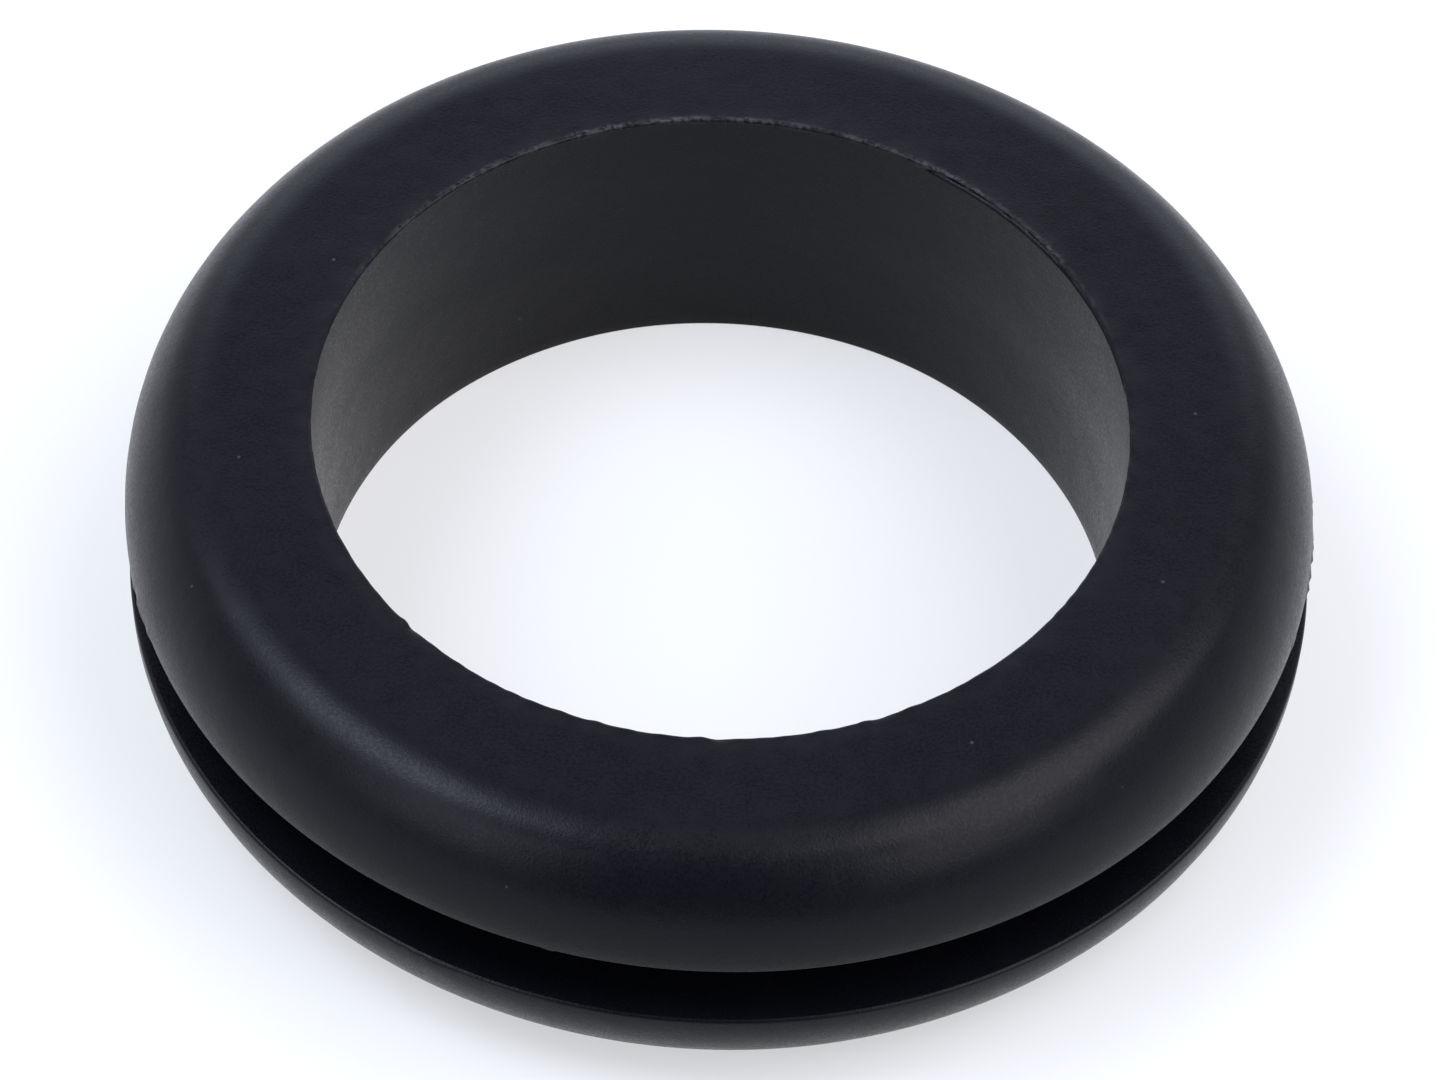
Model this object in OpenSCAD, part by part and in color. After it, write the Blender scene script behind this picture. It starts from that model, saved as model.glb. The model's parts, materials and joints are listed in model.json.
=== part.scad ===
// Rubber grommet: one moulded ring with a straight round bore and an open groove round its waist.
// It snaps over the edge of a hole in a sheet panel, and guards the cable or pipe that passes through.
// Lengths are in millimetres. The ring lies flat on its lower flange: Z is the axis of the bore, and
// z = 0 is the face it rests on.

/* [Bore] */
// Diameter of the hole that a cable or pipe passes through
bore_d = 32; // [8:0.5:120]
// Rounding of the edge at each mouth of the bore
mouth_r = 0.3; // [0.1:0.05:1.5]

/* [Barrel and groove] */
// Thickness of the wall between the bore and the floor of the groove
barrel_wall = 3; // [1.5:0.1:8]
// Width of the groove, which is the thickest panel that it takes
groove_w = 3.1; // [1.2:0.1:8]
// Fillet in each corner of the groove's floor
root_r = 0.5; // [0.1:0.05:1.5]

/* [Flanges] */
// Thickness of each flange, from its flat end face to the groove
flange_t = 4.65; // [1.5:0.05:12]
// How far each flange stands out past the floor of the groove
overhang = 4.5; // [2:0.1:10]
// Rounding of each flange's edge at the mouth of the groove
lip_r = 0.3; // [0.1:0.05:1.2]

/* [Shoulders] */
// Width of the rounded shoulder, from the end of the flat face out to the rim
shoulder_w = 3.5; // [1:0.1:6.5]
// Radius of the tighter arc, where the shoulder turns over
crown_r = 2.8; // [0.5:0.1:3.1]

/* [Hidden] */
$fn = 96;
// Black of the moulded rubber
rubber_black = [0.07, 0.07, 0.08];
bore_r = bore_d / 2;
groove_r = bore_r + barrel_wall;
flange_r = groove_r + overhang;
total_h = groove_w + 2 * flange_t;
// The tighter arc takes at most this share of its shoulder, so that the larger arc has the rest
max_arc_share = 0.9;
// The two arcs of a shoulder overlap by this much, so that they cross and don't only touch
hair = 0.001;

// Quarter of a disc in the corner of the axes.
module quarter_disc(r) {
    intersection() {
        circle(r);
        square(2 * r);
    }
}

// Quarter of an upright oval in the corner of the axes, w wide and h high, where h is at least w.
// An arc of radius r turns over its top. A larger arc runs on from it in the same direction, down
// to the side, where it stands upright.
module upright_quarter(w, h, r) {
    crown_y = h - r;
    inner_r = r - hair;
    exact_r = (w * w + crown_y * crown_y - inner_r * inner_r) / (2 * (w - inner_r));
    side_r = round(exact_r / hair) * hair;
    meet_y = crown_y * side_r / (side_r - inner_r);
    intersection() {
        translate([w - side_r, 0]) circle(side_r);
        square([2 * w, meet_y]);
    }
    translate([0, crown_y]) quarter_disc(r);
}

// Quarter of a two-arc oval of any width and height, with the tighter arc, of radius r, at the end
// of its longer half axis.
module oval_quarter(w, h, r) {
    arc_r = min(r, max_arc_share * min(w, h));
    if (h >= w) {
        upright_quarter(w, h, arc_r);
    } else {
        mirror([1, -1]) upright_quarter(h, w, arc_r);
    }
}

// Half section of one flange, with the axis of the bore on x = 0 and the side of the groove on
// y = 0: the mouth of the bore, the flat end face, the shoulder, and the lip at the groove.
module flange_section() {
    flat_x = bore_r + mouth_r;
    shoulder_x = flange_r - shoulder_w;
    translate([bore_r, 0]) square([mouth_r, flange_t - mouth_r]);
    translate([flat_x, flange_t - mouth_r]) mirror([1, 0]) quarter_disc(mouth_r);
    translate([flat_x, 0]) square([shoulder_x - flat_x, flange_t]);
    translate([shoulder_x, lip_r]) oval_quarter(shoulder_w, flange_t - lip_r, crown_r);
    translate([shoulder_x, 0]) square([shoulder_w - lip_r, lip_r]);
    translate([flange_r - lip_r, lip_r]) mirror([0, 1]) quarter_disc(lip_r);
}

// Fillet between the floor of the groove and the side of a flange, below the line y = 0.
module root_fillet() {
    translate([groove_r, -root_r]) difference() {
        square(root_r);
        translate([root_r, 0]) circle(root_r);
    }
}

// Half section of the whole ring, with the middle of the groove on y = 0.
module ring_section() {
    translate([bore_r, -groove_w / 2]) square([barrel_wall, groove_w]);
    for (side = [0, 1]) {
        mirror([0, side]) translate([0, groove_w / 2]) {
            flange_section();
            root_fillet();
        }
    }
}

// The grommet: its half section turned about the axis of the bore, and stood on its lower flange.
module grommet() {
    color(rubber_black)
        translate([0, 0, total_h / 2])
            rotate_extrude() ring_section();
}

grommet();
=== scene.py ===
import json
import math

import bpy
import numpy as np
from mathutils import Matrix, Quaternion, Vector


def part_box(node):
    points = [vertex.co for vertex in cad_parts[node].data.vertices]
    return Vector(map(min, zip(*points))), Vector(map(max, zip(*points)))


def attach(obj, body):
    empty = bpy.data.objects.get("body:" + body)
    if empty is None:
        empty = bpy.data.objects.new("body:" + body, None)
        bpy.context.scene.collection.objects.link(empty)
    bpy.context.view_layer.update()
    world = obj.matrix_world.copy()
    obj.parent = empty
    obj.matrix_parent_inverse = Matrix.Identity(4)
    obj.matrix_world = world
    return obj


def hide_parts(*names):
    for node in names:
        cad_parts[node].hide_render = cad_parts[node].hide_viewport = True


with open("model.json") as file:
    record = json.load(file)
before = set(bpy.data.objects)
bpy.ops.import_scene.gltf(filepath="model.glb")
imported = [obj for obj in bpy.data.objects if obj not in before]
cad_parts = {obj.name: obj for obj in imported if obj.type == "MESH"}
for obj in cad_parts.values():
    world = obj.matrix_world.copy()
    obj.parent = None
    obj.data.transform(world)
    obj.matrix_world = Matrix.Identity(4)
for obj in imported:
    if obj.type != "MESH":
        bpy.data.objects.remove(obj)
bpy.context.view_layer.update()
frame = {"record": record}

# The moulded ring.
# The real grommet is one ring of black rubber, pressed in a blasted two-part mould. It has a straight
# bore, a groove round its waist for a panel's edge, and two equal flanges with broad rounded shoulders.
MM = 0.001
mounts = {mount["name"]: mount for mount in frame["record"]["mounts"]}
ring_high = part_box("grommet")[1]
bore_r = mounts["bore"]["dims"]["r_mm"] * MM
flange_r = ring_high.x
total_h = ring_high.z
groove_r = 19 * MM
groove_side_z = 7.75 * MM
root_r = 0.5 * MM
lip_r = 0.12 * MM
mouth_r = 0.1 * MM
shoulder_w = 3.5 * MM
crown_r = 2.8 * MM
# How far the closer points beside the upper mouth reach, in over the land and down the bore.
edge_width = 0.4 * MM
edge_depth = 0.5 * MM


def arc(centre, radius, start, end, steps):
    """Points on a circle: the centre plus the radius times the cosine and sine of an angle that goes
    evenly from start to end, in degrees. The end point is left to the run that follows."""
    angle = np.radians(start + (end - start) * np.arange(steps) / steps)
    return np.stack([centre[0] + radius * np.cos(angle), centre[1] + radius * np.sin(angle)], -1)


def line(start, end, steps):
    """Points on a straight line: the start times one less a share plus the end times the share, which
    goes evenly from 0 to 1. The end point is left to the run that follows."""
    share = np.arange(steps)[:, None] / steps
    return np.array(start) * (1 - share) + np.array(end) * share


def half_section(steps):
    """The outline of the upper half of the ring's section, as radius and height: up the groove's floor,
    out along its side, round the lip, up the shoulder's two arcs, in over the flat land, and down the
    bore. The side arc is the circle that is upright at the rim and meets the crown arc in line."""
    middle_z = total_h / 2
    lip_z = groove_side_z + lip_r
    shoulder_r = flange_r - shoulder_w
    crown_z = total_h - crown_r
    side_r = (shoulder_w**2 + (crown_z - lip_z) ** 2 - crown_r**2) / (2 * (shoulder_w - crown_r))
    side_x = flange_r - side_r
    meet = math.degrees(math.atan2(crown_z - lip_z, shoulder_r - side_x))
    mouth_x = bore_r + mouth_r
    mouth_z = total_h - mouth_r
    edge_x = mouth_x + edge_width
    edge_z = mouth_z - edge_depth
    return np.concatenate([
        line((groove_r, middle_z), (groove_r, groove_side_z - root_r), steps["floor"]),
        arc((groove_r + root_r, groove_side_z - root_r), root_r, 180, 90, steps["root"]),
        line((groove_r + root_r, groove_side_z), (flange_r - lip_r, groove_side_z), steps["side"]),
        arc((flange_r - lip_r, lip_z), lip_r, -90, 0, steps["lip"]),
        arc((side_x, lip_z), side_r, 0, meet, steps["rim"]),
        arc((shoulder_r, crown_z), crown_r, meet, 90, steps["crown"]),
        line((shoulder_r, total_h), (edge_x, total_h), steps["land"]),
        line((edge_x, total_h), (mouth_x, total_h), steps["edge"]),
        arc((mouth_x, mouth_z), mouth_r, 90, 180, steps["mouth"]),
        line((bore_r, mouth_z), (bore_r, edge_z), steps["edge_below"]),
        line((bore_r, edge_z), (bore_r, middle_z), steps["wall"]),
    ])


# The upper half has closer points than the lower one, most of all where the mouth is torn.
fine = half_section({
    "floor": 2, "root": 4, "side": 5, "lip": 5, "rim": 8, "crown": 9,
    "land": 8, "edge": 7, "mouth": 4, "edge_below": 11, "wall": 7,
})
plain = half_section({
    "floor": 2, "root": 4, "side": 4, "lip": 4, "rim": 6, "crown": 6,
    "land": 4, "edge": 1, "mouth": 4, "edge_below": 1, "wall": 5,
})
under = plain[::-1] * (1, -1) + (0, total_h)
section = np.concatenate([fine, [(bore_r, total_h / 2)], under[:-1]])

# Degrees round the ring where the real one has torn or trimmed edges get closer columns.
column_count = 876
sweep = np.linspace(0, 360, 7201)
closeness = 1 + 1.2 * ((sweep > 8) & (sweep < 64)) + 0.5 * ((sweep > 84) & (sweep < 150))
travelled = np.concatenate([[0], np.cumsum((closeness[1:] + closeness[:-1]) / 2)])
columns = np.interp(np.arange(column_count) / column_count * travelled[-1], travelled, sweep)


def waver(x, seed, period):
    """Smooth noise from -1 to 1 that repeats after a whole number of steps: random heights at whole
    numbers, with the curve 3t^2 - 2t^3 between each and the next."""
    heights = np.random.default_rng(seed).uniform(-1, 1, period)
    step = np.floor(x).astype(int)
    t = x - step
    t = t * t * (3 - 2 * t)
    return heights[step % period] * (1 - t) + heights[(step + 1) % period] * t


def window(angle, start, end, soft):
    """1 between two angles in degrees and 0 outside, with an even slope, soft degrees wide, centred on
    each of the two."""
    inside = np.minimum(angle - start, end - angle)
    return np.clip(inside / soft + 0.5, 0, 1)


def hump(x, centre, width):
    """A bell curve: e to the power of minus the square of the distance over the width."""
    return np.exp(-(((x - centre) / width) ** 2))


# The outward direction at each point of the section is square to the line between its neighbours.
ahead = np.roll(section, -1, 0) - np.roll(section, 1, 0)
ahead /= np.linalg.norm(ahead, axis=1, keepdims=True)
outward_r = ahead[None, :, 1]
outward_z = -ahead[None, :, 0]
length = np.concatenate([[0], np.cumsum(np.linalg.norm(np.diff(section, axis=0), axis=1))])
deg = columns[:, None]
r = section[None, :, 0]
z = section[None, :, 1]

# How far each point of the section is along it from the middle of the bore's upper mouth, in mm.
mouth_at = length[np.argmin(np.hypot(section[:, 0] - bore_r, section[:, 1] - total_h))]
past_mouth = (length - mouth_at)[None, :] / MM

# Everything from here to the fins is how far the surface stands out, in mm. Angles are in degrees
# from +X, and 270 faces the camera.
# The ring is never quite even: it sags a few hundredths of a millimetre between thicker places.
sag = 0.03 * (0.6 * waver(deg / 60, 3, 6) + 0.4 * waver(deg / 20, 4, 18))

# The lower flange spreads a little under the ring's weight.
squat = 0.08 * hump(z / MM, 3.2, 1.8) * np.clip(r / MM - 22.5, 0, 1)

# Along the far side of the upper mouth the trimmed flash left a torn edge. It stands up in crumbs, and
# from 59 down to 10 degrees it hangs over the bore with a slit below it.
torn = 0.6 * window(deg, 24, 158, 12) + 0.4 * window(deg, 56, 140, 14)
torn = torn * (0.6 + 0.4 * waver(deg / 4, 5, 90))
crumbs = waver(deg * 3, 7, 1080) * waver(past_mouth * 9 + 90, 8, 400)
ridge = hump(past_mouth, -0.04, 0.1) * torn * (0.02 + 0.05 * crumbs)
lifted = window(deg, 34, 59, 4) + 0.6 * window(deg, 10, 32, 4)
ragged = 1 + 0.3 * waver(deg * 0.8, 9, 288)
slit = hump(past_mouth, 0.14, 0.085) * lifted * -0.26 * ragged
curl = hump(past_mouth, -0.05, 0.07) * lifted * 0.015 * ragged

# Small nicks and bumps along the near edge of the mouth: the angle, the height and the half width.
near_marks = [
    (223.5, 0.05, 0.9), (225.2, -0.05, 0.9), (249.9, 0.035, 1.2), (255.2, 0.03, 1.0),
    (269.5, 0.045, 1.0), (271.5, -0.04, 1.2), (285.6, 0.04, 1.2), (291.9, 0.05, 1.0),
    (293.8, -0.04, 1.4), (298.4, 0.035, 1.2),
]
marks = sum(stands * hump(deg, at, half_width) for at, stands, half_width in near_marks)
nicks = hump(past_mouth, 0, 0.16) * (marks + 0.015 * waver(deg / 1.5, 10, 240))

# The mould parts at the lips, where thin fins of flash were left in two places on the upper flange
# and a few crumbs on the lower one.
upper_lip = hump(z / MM, 7.9, 0.16) * (r > 23 * MM)
lower_lip = hump(z / MM, 4.5, 0.16) * (r > 23 * MM)
right_fin = window(deg, -1, 3, 1) + window(deg, 350, 361, 1) + 0.6 * window(deg, 343.6, 345, 0.6)
left_fin = window(deg, 193.5, 201.8, 1.5)
fins = upper_lip * (
    right_fin * (0.05 + 0.05 * waver(deg * 2.5, 11, 900))
    + left_fin * (0.04 + 0.05 * waver(deg * 2.5, 12, 900))
    + 0.07 * hump(deg, 256.3, 0.35)
)
fins = fins + lower_lip * window(deg, 239.5, 246.8, 1.5) * (0.03 + 0.05 * waver(deg * 2, 13, 720))

push = (sag + squat + ridge + slit + curl + nicks + fins) * MM
turn = np.radians(deg)
radius = r + push * outward_r
height = np.maximum(z + push * outward_z, 0)

# The two halves of the mould met a tenth of a millimetre apart, so the lower flange sits that much to
# one side, and the pin that made the bore stood a tenth to the other side.
mismatch = 0.1 * MM
below = np.clip((total_h / 2 - height) / MM + 0.5, 0, 1)
near_pin = np.clip((20 * MM - r) / (3 * MM), 0, 1)
aside = mismatch * (below - near_pin)
points = np.stack([radius * np.cos(turn) + aside, radius * np.sin(turn), height], -1)

# One quad joins each point to the next in its column and to the two beside them, right round both ways.
row_count = len(section)
column = np.arange(column_count)[:, None]
row = np.arange(row_count)[None, :]
next_column = (column + 1) % column_count
next_row = (row + 1) % row_count
quads = np.stack([
    column * row_count + row, next_column * row_count + row,
    next_column * row_count + next_row, column * row_count + next_row,
], -1).reshape(-1, 4)

ring_mesh = bpy.data.meshes.new("moulded_ring")
ring_mesh.from_pydata(points.reshape(-1, 3), [], quads)
ring_mesh.polygons.foreach_set("use_smooth", np.ones(len(quads), bool))


def paint(name, amount):
    """Keeps an amount from 0 to 1 with each point of the ring's mesh, for its material to read."""
    values = np.broadcast_to(amount, (column_count, row_count)).astype(np.float32)
    ring_mesh.attributes.new(name, "FLOAT", "POINT").data.foreach_set("value", values.ravel())


paint("torn", np.clip(hump(past_mouth, -0.07, 0.14) * np.clip(torn, 0, 1), 0, 1))
# The land is painted paler beside the mouth, and a faint painted highlight lies where the shoulder
# begins.
pale_and_sheen_share = np.maximum(0.6 * hump(past_mouth, -0.3, 0.5), 0.2 * hump(r / MM, 20.2, 0.8))
paint("pale_and_sheen_share", pale_and_sheen_share * (z > 9 * MM))
ring_mesh.update()
ring = bpy.data.objects.new("moulded_ring", ring_mesh)
bpy.context.scene.collection.objects.link(ring)


class Flow:
    """What comes out of one socket of a node. Arithmetic on it adds a Math node, as 1 - mask does."""

    def __init__(self, tree, socket):
        self.tree = tree
        self.socket = socket

    @staticmethod
    def node(tree, kind, settings, inputs):
        """Adds a node to a tree and returns its outputs by name. The settings are made first, because
        they decide which sockets there are. An input is given by its socket's name or its place."""
        made = tree.nodes.new(kind)
        for name, value in settings.items():
            setattr(made, name, value)
        for place_or_name, value in inputs.items():
            socket = made.inputs[place_or_name]
            if isinstance(value, Flow):
                tree.links.new(value.socket, socket)
            else:
                socket.default_value = value
        return {output.name: Flow(tree, output) for output in made.outputs if output.enabled}

    def maths(self, operation, first, second):
        """The result of a Math node on two values, of which at least one is a socket's."""
        made = self.node(self.tree, "ShaderNodeMath", {"operation": operation}, {0: first, 1: second})
        return made["Value"]

    def __add__(self, other):
        return self.maths("ADD", self, other)

    def __radd__(self, other):
        return self.maths("ADD", other, self)

    def __sub__(self, other):
        return self.maths("SUBTRACT", self, other)

    def __rsub__(self, other):
        return self.maths("SUBTRACT", other, self)

    def __mul__(self, other):
        return self.maths("MULTIPLY", self, other)

    def __rmul__(self, other):
        return self.maths("MULTIPLY", other, self)


def smooth(tree, value, low, high):
    """0 below low and 1 above high, with the curve 3t^2 - 2t^3 between."""
    inputs = {"Value": value, "From Min": low, "From Max": high}
    return Flow.node(tree, "ShaderNodeMapRange", {"interpolation_type": "SMOOTHSTEP"}, inputs)["Result"]


rubber = bpy.data.materials.new("black_rubber")
rubber.use_nodes = True
tree = rubber.node_tree
tree.nodes.clear()
place = Flow.node(tree, "ShaderNodeTexCoord", {}, {})["Object"]


def noise(scale, detail, roughness):
    """Noise over the object, from 0 to 1. Its scale is in features for each metre."""
    inputs = {"Vector": place, "Scale": scale, "Detail": detail, "Roughness": roughness}
    return Flow.node(tree, "ShaderNodeTexNoise", {}, inputs)["Fac"]


def blend(amount, first, second):
    """The first colour where the amount is 0, and the second where it is 1."""
    inputs = {0: amount, 6: first, 7: second}
    return Flow.node(tree, "ShaderNodeMix", {"data_type": "RGBA"}, inputs)["Result"]


# From broad to fine: clouds over the whole ring, shallow dents, mottling, and the mould's blasted grain.
cloud = noise(110.0, 3.0, 0.5)
dents = noise(450.0, 2.0, 0.5)
mottle = noise(900.0, 3.0, 0.5)
speckle = noise(7500.0, 2.0, 0.6)
grain = noise(11000.0, 2.0, 0.6)

# Torn edges are scuffed grey. By the mouth the land is painted paler, and a painted highlight starts the
# shoulder.
torn_there = Flow.node(tree, "ShaderNodeAttribute", {"attribute_name": "torn"}, {})["Fac"]
pale_and_sheen_there = Flow.node(tree, "ShaderNodeAttribute", {"attribute_name": "pale_and_sheen_share"}, {})["Fac"]
scuff = torn_there * smooth(tree, noise(5200.0, 2.0, 0.6), 0.4, 0.62)
pale_and_sheen = pale_and_sheen_there * (0.4 + 0.6 * smooth(tree, mottle, 0.35, 0.65)) * smooth(tree, speckle, 0.3, 0.7)

# A speck of dust lies in a few cells of a cell pattern, drawn by the red of each cell's chance colour.
cells = Flow.node(tree, "ShaderNodeTexVoronoi", {"feature": "F1"}, {"Vector": place, "Scale": 700.0})
chance = Flow.node(tree, "ShaderNodeSeparateColor", {}, {"Color": cells["Color"]})["Red"]
dust = (1 - smooth(tree, cells["Distance"], 0.03, 0.07)) * smooth(tree, chance, 0.89, 0.9)

deep_black = (0.0021, 0.0024, 0.0039, 1.0)
open_black = (0.0038, 0.0042, 0.0061, 1.0)
# The paler grey of the land by the mouth and of the painted highlight where the shoulder begins.
pale_and_sheen_grey = (0.013, 0.0135, 0.016, 1.0)
scuff_grey = (0.05, 0.05, 0.053, 1.0)
dust_grey = (0.08, 0.08, 0.09, 1.0)
black = blend(cloud * 0.6 + mottle * 0.4, deep_black, open_black)
with_pale_and_sheen = blend(pale_and_sheen, black, pale_and_sheen_grey)
scuffed = blend(scuff, with_pale_and_sheen, scuff_grey)
dusty = blend(dust * 0.4, scuffed, dust_grey)

# The tops of the grain are polished, so they sparkle in the highlights. Torn rubber is dull.
grain_height = 0.014 * MM
polished = smooth(tree, speckle, 0.38, 0.64)
dullness = 0.27 + cloud * 0.08 + mottle * 0.1 - polished * 0.1 + scuff * 0.2
relief = grain * 0.45 + speckle * 0.55 + dents * 2.5
bump = {"Strength": 1.0, "Distance": grain_height, "Height": relief}
bumped = Flow.node(tree, "ShaderNodeBump", {}, bump)["Normal"]
shader = Flow.node(tree, "ShaderNodeBsdfPrincipled", {}, {
    "Base Color": dusty, "Roughness": dullness, "Normal": bumped, "Specular IOR Level": 0.14,
})["BSDF"]
Flow.node(tree, "ShaderNodeOutputMaterial", {}, {"Surface": shader})
ring_mesh.materials.append(rubber)

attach(ring, "root")
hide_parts("grommet")

# The white table.
# A pale matt sheet that the ring lies on, so wide that a low view sees nothing past its edge. Half of
# what the eye and a gloss see of it is its own white, and half is light on it, with the ring's shadow.
floor_reach = 6.0
floor_z = -0.02 * MM
own_white = 0.5
floor_mesh = bpy.data.meshes.new("white_table")
floor_corners = [
    (-floor_reach, -floor_reach, floor_z), (floor_reach, -floor_reach, floor_z),
    (floor_reach, floor_reach, floor_z), (-floor_reach, floor_reach, floor_z),
]
floor_mesh.from_pydata(floor_corners, [], [(0, 1, 2, 3)])
floor = bpy.data.objects.new("white_table", floor_mesh)
bpy.context.scene.collection.objects.link(floor)
white = bpy.data.materials.new("white_card")
white.use_nodes = True
white_tree = white.node_tree
white_tree.nodes.clear()
lit = Flow.node(white_tree, "ShaderNodeBsdfDiffuse", {}, {"Color": (0.77, 0.785, 0.8, 1.0)})["BSDF"]
glowing = Flow.node(white_tree, "ShaderNodeEmission", {}, {"Strength": 1.0})["Emission"]
light_path = Flow.node(white_tree, "ShaderNodeLightPath", {}, {})
seen = light_path["Is Camera Ray"] + light_path["Is Glossy Ray"] + light_path["Is Transmission Ray"]
half_lit = Flow.node(white_tree, "ShaderNodeMixShader", {}, {0: seen * own_white, 1: lit, 2: glowing})
Flow.node(white_tree, "ShaderNodeOutputMaterial", {}, {"Surface": half_lit["Shader"]})
floor_mesh.materials.append(white)

# The lamps.
# A soft box on each side over the ring, the left one with a brighter core, gives the two highlights.
# Fills at the front corners and small lamps above show the shoulders, and a strip the far rim.
cool = (0.92, 0.98, 1.14)
neutral = (1.0, 0.98, 1.06)
# The azimuth goes from the far side to the right, and the elevation up, both in degrees. Distance and
# size are in metres. The radiance is how bright the lamp's face is, where 1 is white.
soft_boxes = {
    "left_box": {
        "azimuth": -86, "elevation": 55, "distance": 0.6,
        "size": (0.38, 0.38), "radiance": 2.5, "tint": cool,
    },
    "left_core": {
        "azimuth": -95, "elevation": 63, "distance": 0.55,
        "size": (0.24, 0.24), "radiance": 4.7, "tint": cool,
    },
    "right_box": {
        "azimuth": 96, "elevation": 58, "distance": 0.6,
        "size": (0.42, 0.42), "radiance": 3.9, "tint": neutral,
    },
    "left_fill": {
        "azimuth": -134, "elevation": 35, "distance": 0.8,
        "size": (0.36, 0.5), "radiance": 2.6, "tint": cool,
    },
    "right_fill": {
        "azimuth": 131, "elevation": 34, "distance": 0.8,
        "size": (0.42, 0.45), "radiance": 2.7, "tint": neutral,
    },
    "left_top": {
        "azimuth": -44, "elevation": 65, "distance": 0.7,
        "size": (0.24, 0.2), "radiance": 1.3, "tint": cool,
    },
    "right_top": {
        "azimuth": 44, "elevation": 65, "distance": 0.7,
        "size": (0.26, 0.22), "radiance": 1.5, "tint": neutral,
    },
    "back_strip": {
        "azimuth": 0, "elevation": 27, "distance": 1.2,
        "size": (1.4, 0.75), "radiance": 1.1, "tint": cool,
    },
}
for name, box in soft_boxes.items():
    azimuth = math.radians(box["azimuth"])
    elevation = math.radians(box["elevation"])
    towards_lamp = Vector((
        math.sin(azimuth) * math.cos(elevation),
        math.cos(azimuth) * math.cos(elevation),
        math.sin(elevation),
    ))
    lamp = bpy.data.lights.new(name, "AREA")
    lamp.color = box["tint"]
    lamp.shape = "RECTANGLE"
    lamp.size, lamp.size_y = box["size"]
    lamp.energy = box["radiance"] * math.pi * lamp.size * lamp.size_y
    lamp_object = bpy.data.objects.new(name, lamp)
    lamp_object.location = towards_lamp * box["distance"]
    lamp_object.rotation_mode = "QUATERNION"
    lamp_object.rotation_quaternion = towards_lamp.to_track_quat("Z", "Y")
    lamp_object.visible_camera = False
    bpy.context.scene.collection.objects.link(lamp_object)

# The room.
# Pale walls all round, brighter low down and behind the ring, with one dark card in front of it that
# keeps its near shoulder dark, as is done in a studio for a dark glossy part.
room = bpy.data.worlds.new("white_room")
room.use_nodes = True
room_tree = room.node_tree
room_tree.nodes.clear()
looking = Flow.node(room_tree, "ShaderNodeTexCoord", {}, {})["Generated"]
looking_xyz = Flow.node(room_tree, "ShaderNodeSeparateXYZ", {}, {"Vector": looking})
low_down = 1 - smooth(room_tree, looking_xyz["Z"], 0.15, 0.85)
behind = smooth(room_tree, looking_xyz["Y"], -0.9, 0.9)
strength = 0.2 + low_down * (0.28 + behind * 0.55)
walls = Flow.node(room_tree, "ShaderNodeBackground", {}, {
    "Color": (0.94, 1.0, 1.15, 1.0), "Strength": strength,
})["Background"]
Flow.node(room_tree, "ShaderNodeOutputWorld", {}, {"Surface": walls})
bpy.context.scene.world = room

card_reach = 0.41
card_y = -0.8
card_top = 1.1
card_mesh = bpy.data.meshes.new("front_card")
card_corners = [
    (-card_reach, card_y, 0), (card_reach, card_y, 0),
    (card_reach, card_y, card_top), (-card_reach, card_y, card_top),
]
card_mesh.from_pydata(card_corners, [], [(0, 1, 2, 3)])
card_black = bpy.data.materials.new("card_black")
card_black.use_nodes = True
card_tree = card_black.node_tree
card_tree.nodes.clear()
felt = Flow.node(card_tree, "ShaderNodeBsdfDiffuse", {}, {"Color": (0.12, 0.12, 0.125, 1.0)})["BSDF"]
Flow.node(card_tree, "ShaderNodeOutputMaterial", {}, {"Surface": felt})
card_mesh.materials.append(card_black)
card = bpy.data.objects.new("front_card", card_mesh)
card.visible_camera = False
card.visible_shadow = False
bpy.context.scene.collection.objects.link(card)

# The camera.
# It looks down at the ring from the front at about 50 degrees, from a quarter of a metre away.
camera_at = Vector((0, -162.5, 197.91)) * MM
camera_aim = Vector((0.09, -1.11, 6.2)) * MM
camera_roll = math.radians(2.7)
view_lens = bpy.data.cameras.new("camera")
view_lens.lens = 157.7
view_lens.sensor_width = 36
view_lens.clip_start = 0.01
view_lens.clip_end = 50
camera = bpy.data.objects.new("camera", view_lens)
camera.location = camera_at
camera.rotation_mode = "QUATERNION"
upright = (camera_aim - camera_at).to_track_quat("-Z", "Y")
camera.rotation_quaternion = upright @ Quaternion((0, 0, 1), camera_roll)
bpy.context.scene.collection.objects.link(camera)
bpy.context.scene.camera = camera
bpy.context.scene.view_settings.view_transform = "Standard"
